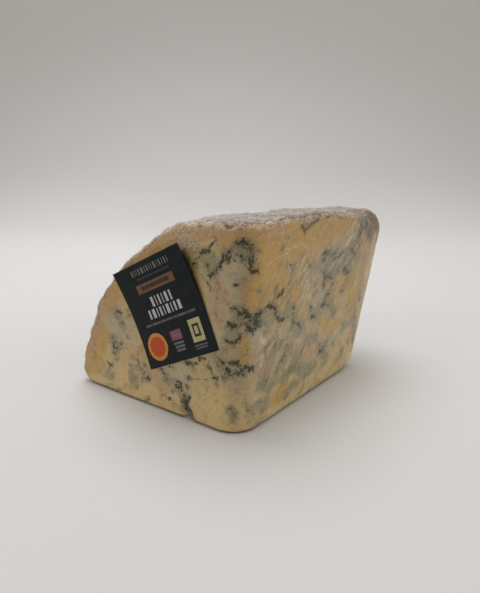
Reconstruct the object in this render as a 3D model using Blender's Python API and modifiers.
"""A block of blue cheese, cut from a wheel and wrapped tight in clear film, with one label stuck on.

The block lies on a cut face. The wheel's axis runs along Y, so the rind bends over the left side and the
top, the cut face with the label looks towards -Y, and the cut face along the axis looks towards +X.
Units are metres, +Z is up, and the origin is at the bottom centre of the block's box.
"""

import math

import bmesh
import bpy
import numpy as np
from mathutils import Matrix, Vector, noise

# The wheel. Places are measured from the block's sharp front corner, where both cut faces meet the base.
WHEEL_RADIUS = 0.1107
WHEEL_AXIS_X = 0.0067
WHEEL_AXIS_Z = -0.0228
ARC_STEPS = 36
SLUMP = 0.0011  # how far the rind has sunk in below the shoulder
SLUMP_ANGLE = math.radians(57)
SLUMP_REACH = math.radians(7)
BULGE = 0.0015  # how far its middle swells out, as the block sags a little
BULGE_ANGLE = math.radians(45)
BULGE_REACH = math.radians(22)

# The top, where the wheel was pressed flat, and the cuts.
TOP_HEIGHT = 0.0820
TOP_RISE = 0.0006  # how far the top bulges at its crest
TOP_CREST_Y = 0.0560
TOP_CREST_REACH = 0.0200
TOP_FALL = 0.0008  # how far the top drops towards the far end
TOP_FALL_FROM = 0.0600
TOP_FALL_TO = 0.0950
LABEL_FACE_LEAN = math.radians(2.0)  # leans back
RIGHT_FACE_X = -0.0011
RIGHT_FACE_LEAN = math.radians(2.3)  # leans out over the base
FAR_END_Y = 0.0986  # where the far end meets the base
FAR_END_LEAN = math.radians(18.6)  # leans out over the base
FAR_END_TURN = math.radians(-3.0)  # turned in plan, so that the rind side is a little shorter

# How far the edges are rounded, which the tight film pulls in.
FRONT_ARRIS = 0.0110  # between the label face and the right face
FAR_ARRIS = 0.0045  # between the right face and the far end
SHOULDER_ARRIS = 0.0030  # between the round side and the pressed top
RIND_ARRIS = 0.0046  # round the rind at the label face and the right face
RIND_FAR_ARRIS = 0.0135  # and at the far end
RIND_FAR_FROM = 0.0800
RIND_FAR_TO = 0.1100
BASE_ARRIS = 0.0020  # where the cut faces meet the base
BASE_FAR_ARRIS = 0.0050  # and at its far corners
BASE_FAR_FROM = 0.0800
BASE_FAR_TO = 0.0980
BASE_RIND_ARRIS = 0.0140  # where the rind does

# The surface.
VOXEL = 0.0026
LUMP_HEIGHT = 0.0011
LUMP_WIDTH = 0.017
CUT_FACE_WAVE = 0.00015
RIND_REACH = 0.0050  # how far below the rind its lumps fade out
ROUNDING_PASSES = 5
BASE_SNAP = 0.0004
WEDGE_TRIANGLE_SHARE = 0.42
# The crevice that nicks the label face's lower edge: its place, its reach and its depth.
NICK_CENTRE = Vector((-0.0285, 0.0, 0.0025))
NICK_REACH = 0.0045
NICK_DEPTH = 0.0020

# The label.
LABEL_WIDTH = 0.0401
LABEL_HEIGHT = 0.0430
LABEL_CORNER_X = -0.0480  # its lower left corner on the label face
LABEL_CORNER_Z = 0.0175
LABEL_TILT = math.radians(23.7)
LABEL_THICKNESS = 0.0004
LABEL_GAP = 0.0005
LABEL_LIFT_FROM = 0.0060  # height on the label above which it stands off the face
LABEL_LIFT_BEND = 3.8  # metres of lift for each square metre past that height
LABEL_COLUMNS = 10
LABEL_ROWS = 14

# From the front corner to the middle of the block's box.
BLOCK_CENTRE = Vector((-0.0486, 0.0598, 0.0))

CUTTER_SIZE = 0.30


def clear_scene():
    for thing in list(bpy.data.objects):
        bpy.data.objects.remove(thing, do_unlink=True)
    for mesh in list(bpy.data.meshes):
        bpy.data.meshes.remove(mesh)


def new_collection(name, hidden=False):
    collection = bpy.data.collections.new(name)
    collection.hide_render = hidden
    bpy.context.scene.collection.children.link(collection)
    return collection


def new_material(name, colour, roughness, metallic=0.0):
    material = bpy.data.materials.new(name)
    material.use_nodes = True
    shader = material.node_tree.nodes["Principled BSDF"]
    shader.inputs["Base Color"].default_value = (*colour, 1.0)
    shader.inputs["Roughness"].default_value = roughness
    shader.inputs["Metallic"].default_value = metallic
    return material


def fade(values, start, end):
    """0 before start, 1 after end, and smooth between them."""
    share = np.clip((values - start) / (end - start), 0, 1)
    return share * share * (3 - 2 * share)


def rind_radius(angle):
    slump = SLUMP * np.exp(-(((angle - SLUMP_ANGLE) / SLUMP_REACH) ** 2))
    bulge = BULGE * np.exp(-(((angle - BULGE_ANGLE) / BULGE_REACH) ** 2))
    return WHEEL_RADIUS - slump + bulge


def top_height(y):
    crest = np.exp(-(((y - TOP_CREST_Y) / TOP_CREST_REACH) ** 2))
    return TOP_HEIGHT + TOP_RISE * crest - TOP_FALL * fade(y, TOP_FALL_FROM, TOP_FALL_TO)


def rind_outline():
    """The block's outline in (x, z), seen from the label's side: base, rind and top."""
    past_right_face = 0.02
    clear_of_crest = TOP_HEIGHT + TOP_RISE
    base_angle = math.asin(-WHEEL_AXIS_Z / WHEEL_RADIUS)
    points = [(past_right_face, 0.0)]
    for step in range(ARC_STEPS + 1):
        angle = base_angle + (math.pi / 2 - base_angle) * step / ARC_STEPS
        reach = rind_radius(angle)
        x = WHEEL_AXIS_X - reach * math.cos(angle)
        z = WHEEL_AXIS_Z + reach * math.sin(angle)
        points.append((x, min(z, clear_of_crest)))
    points.append((past_right_face, clear_of_crest))
    return points


def rough_block(collection):
    """The outline drawn out along the wheel's axis, longer than the block at both ends."""
    curve = bpy.data.curves.new("block_outline", "CURVE")
    curve.dimensions = "2D"
    curve.fill_mode = "BOTH"
    curve.extrude = CUTTER_SIZE / 4
    outline = rind_outline()
    spline = curve.splines.new("POLY")
    spline.points.add(len(outline) - 1)
    for point, (x, z) in zip(spline.points, outline):
        point.co = (x, z, 0.0, 1.0)
    spline.use_cyclic_u = True
    block = bpy.data.objects.new("block_outline", curve)
    block.matrix_world = Matrix.Translation((0, CUTTER_SIZE / 6, 0)) @ Matrix.Rotation(math.pi / 2, 4, "X")
    collection.objects.link(block)
    return solid_from(block, "wedge", collection)


def solid_from(source, name, collection):
    """A new mesh object from another one as its modifiers leave it, which then takes its place."""
    bpy.context.view_layer.update()
    graph = bpy.context.evaluated_depsgraph_get()
    mesh = bpy.data.meshes.new_from_object(source.evaluated_get(graph), depsgraph=graph)
    mesh.transform(source.matrix_world)
    work = bmesh.new()
    work.from_mesh(mesh)
    bmesh.ops.remove_doubles(work, verts=work.verts, dist=1e-6)
    bmesh.ops.recalc_face_normals(work, faces=work.faces)
    work.to_mesh(mesh)
    work.free()
    bpy.data.objects.remove(source, do_unlink=True)
    mesh.name = name
    made = bpy.data.objects.new(name, mesh)
    collection.objects.link(made)
    return made


def cutter(name, place, outward, collection):
    """A large box whose near side is the cut, at place and square to outward."""
    mesh = bpy.data.meshes.new(name)
    work = bmesh.new()
    bmesh.ops.create_cube(work, size=CUTTER_SIZE)
    bmesh.ops.translate(work, verts=work.verts, vec=(0, 0, CUTTER_SIZE / 2))
    work.to_mesh(mesh)
    work.free()
    box = bpy.data.objects.new(name, mesh)
    turn = outward.to_track_quat("Z", "Y").to_matrix().to_4x4()
    box.matrix_world = Matrix.Translation(place) @ turn
    box.hide_render = True
    box.display_type = "WIRE"
    collection.objects.link(box)
    return box


def cut_planes():
    """A point and the outward direction of each cut face that stands up."""
    label = Vector((0, -math.cos(LABEL_FACE_LEAN), math.sin(LABEL_FACE_LEAN)))
    right = Vector((math.cos(RIGHT_FACE_LEAN), 0, -math.sin(RIGHT_FACE_LEAN)))
    far = Vector((0, math.cos(FAR_END_LEAN), -math.sin(FAR_END_LEAN)))
    far.rotate(Matrix.Rotation(FAR_END_TURN, 3, "Z"))
    return {
        "label": (Vector((0, 0, 0)), label),
        "right": (Vector((RIGHT_FACE_X, 0, 0)), right),
        "far": (Vector((0, FAR_END_Y, 0)), far),
    }


def cut_faces(block, parts, cutters):
    for name, (place, outward) in cut_planes().items():
        modifier = block.modifiers.new(name + "_cut", "BOOLEAN")
        modifier.operation = "DIFFERENCE"
        modifier.solver = "EXACT"
        modifier.object = cutter(name + "_cutter", place, outward, cutters)
    return solid_from(block, "wedge", parts)


def plane_depth(points, name):
    """How far each point is inside one of the cuts."""
    place, outward = cut_planes()[name]
    return -(points - np.array(place)) @ np.array(outward)


def rounded(first, second, radius):
    """The depth inside two surfaces at once, with the edge between them rounded."""
    corner = np.hypot(np.maximum(radius - first, 0), np.maximum(radius - second, 0))
    return np.maximum(radius, np.minimum(first, second)) - corner


def rind_depth(points):
    """How far each point is inside the round side and the pressed top."""
    x, y, z = points.T
    across = WHEEL_AXIS_X - x
    above = z - WHEEL_AXIS_Z
    side = rind_radius(np.arctan2(above, across)) - np.hypot(across, above)
    return rounded(side, top_height(y) - z, SHOULDER_ARRIS)


def block_depth(points):
    """How far each point is inside the block with all its edges rounded."""
    x, y, z = points.T
    walls = rounded(plane_depth(points, "label"), plane_depth(points, "right"), FRONT_ARRIS)
    walls = rounded(walls, plane_depth(points, "far"), FAR_ARRIS)
    rind_edge = RIND_ARRIS + (RIND_FAR_ARRIS - RIND_ARRIS) * fade(y, RIND_FAR_FROM, RIND_FAR_TO)
    base_edge = BASE_ARRIS + (BASE_FAR_ARRIS - BASE_ARRIS) * fade(y, BASE_FAR_FROM, BASE_FAR_TO)
    edge = base_edge + (rind_edge - base_edge) * fade(z, 0.003, 0.014)
    return rounded(walls, rounded(rind_depth(points), z, BASE_RIND_ARRIS), edge)


def slope(points, step=1e-5):
    """The direction in which the depth grows, at each point."""
    columns = [block_depth(points + step * axis) - block_depth(points - step * axis) for axis in np.eye(3)]
    found = np.stack(columns, axis=1)
    return found / np.linalg.norm(found, axis=1, keepdims=True)


def even_out(block, parts):
    """A mesh of even faces over the whole block."""
    remesh = block.modifiers.new("even_faces", "REMESH")
    remesh.mode = "VOXEL"
    remesh.voxel_size = VOXEL
    remesh.use_smooth_shade = True
    return solid_from(block, "wedge", parts)


def lump(point):
    return noise.noise(point / LUMP_WIDTH) + 0.5 * noise.noise(point * 2.1 / LUMP_WIDTH)


def nick(points):
    """How far the crevice pulls in the lower edge of the label face."""
    apart = np.linalg.norm(points - np.array(NICK_CENTRE), axis=1)
    return NICK_DEPTH * fade(-apart, -NICK_REACH, 0.0)


def shape_surface(block):
    """Rounds the edges, then adds lumps to the rind, faint waves to the cuts and the nicked edge."""
    mesh = block.data
    points = np.array([vertex.co for vertex in mesh.vertices])
    for _ in range(ROUNDING_PASSES):
        points -= slope(points) * block_depth(points)[:, None]
    on_base = points[:, 2] < BASE_SNAP
    lumps = np.array([lump(Vector(point)) for point in points])
    near_rind = 1 - fade(rind_depth(points), 0, RIND_REACH)
    points -= slope(points) * ((LUMP_HEIGHT * near_rind + CUT_FACE_WAVE) * lumps)[:, None]
    points[:, 1] += nick(points)
    points[:, 2] = np.where(on_base, 0, np.maximum(points[:, 2], 0))
    for vertex, place in zip(mesh.vertices, points):
        vertex.co = place
    mesh.update()


def thin_out(block, parts):
    """Fewer triangles where the surface is nearly flat, and a base that is flat again."""
    modifier = block.modifiers.new("fewer_faces", "DECIMATE")
    modifier.ratio = WEDGE_TRIANGLE_SHARE
    modifier.use_collapse_triangulate = True
    block = solid_from(block, "wedge", parts)
    for vertex in block.data.vertices:
        if vertex.co.z < BASE_SNAP:
            vertex.co.z = 0.0
    block.data.update()
    return block


def wrapped_wedge(parts, cutters):
    block = rough_block(parts)
    block = cut_faces(block, parts, cutters)
    block = even_out(block, parts)
    shape_surface(block)
    block = thin_out(block, parts)
    block.data.shade_smooth()
    block.data.set_sharp_from_angle(angle=math.radians(40))
    block.data.materials.append(new_material("blue_cheese_in_film", (0.50, 0.36, 0.17), 0.35))
    return block


def label_frame():
    """The label's own axes on the label face: its lower left corner, its width, its height and outward."""
    outward = cut_planes()["label"][1]
    level = Vector((1, 0, 0))
    upward = outward.cross(level)
    turn = Matrix.Rotation(LABEL_TILT, 3, outward)
    corner = level * LABEL_CORNER_X + upward * LABEL_CORNER_Z
    return corner, turn @ level, turn @ upward, outward


def label_lift(height):
    """How far the label stands off its face at a height on it."""
    return LABEL_LIFT_BEND * max(0.0, height - LABEL_LIFT_FROM) ** 2


def stuck_label(parts):
    corner, across, up, outward = label_frame()
    mesh = bpy.data.meshes.new("label")
    work = bmesh.new()
    bmesh.ops.create_grid(work, x_segments=LABEL_COLUMNS, y_segments=LABEL_ROWS, size=0.5)
    for vertex in work.verts:
        width = (vertex.co.x + 0.5) * LABEL_WIDTH
        height = (vertex.co.y + 0.5) * LABEL_HEIGHT
        lift = LABEL_GAP + LABEL_THICKNESS + label_lift(height)
        vertex.co = corner + across * width + up * height + outward * lift
    work.to_mesh(mesh)
    work.free()
    label = bpy.data.objects.new("label", mesh)
    parts.objects.link(label)
    sheet = label.modifiers.new("sheet", "SOLIDIFY")
    sheet.thickness = LABEL_THICKNESS
    sheet.offset = -1.0
    label.data.materials.append(new_material("black_label", (0.010, 0.012, 0.013), 0.40))
    return label


def main():
    clear_scene()
    parts = new_collection("blue_cheese_block")
    cutters = new_collection("cutters", hidden=True)
    made = (wrapped_wedge(parts, cutters), stuck_label(parts))
    for thing in made:
        thing.data.transform(Matrix.Translation(-BLOCK_CENTRE))


main()
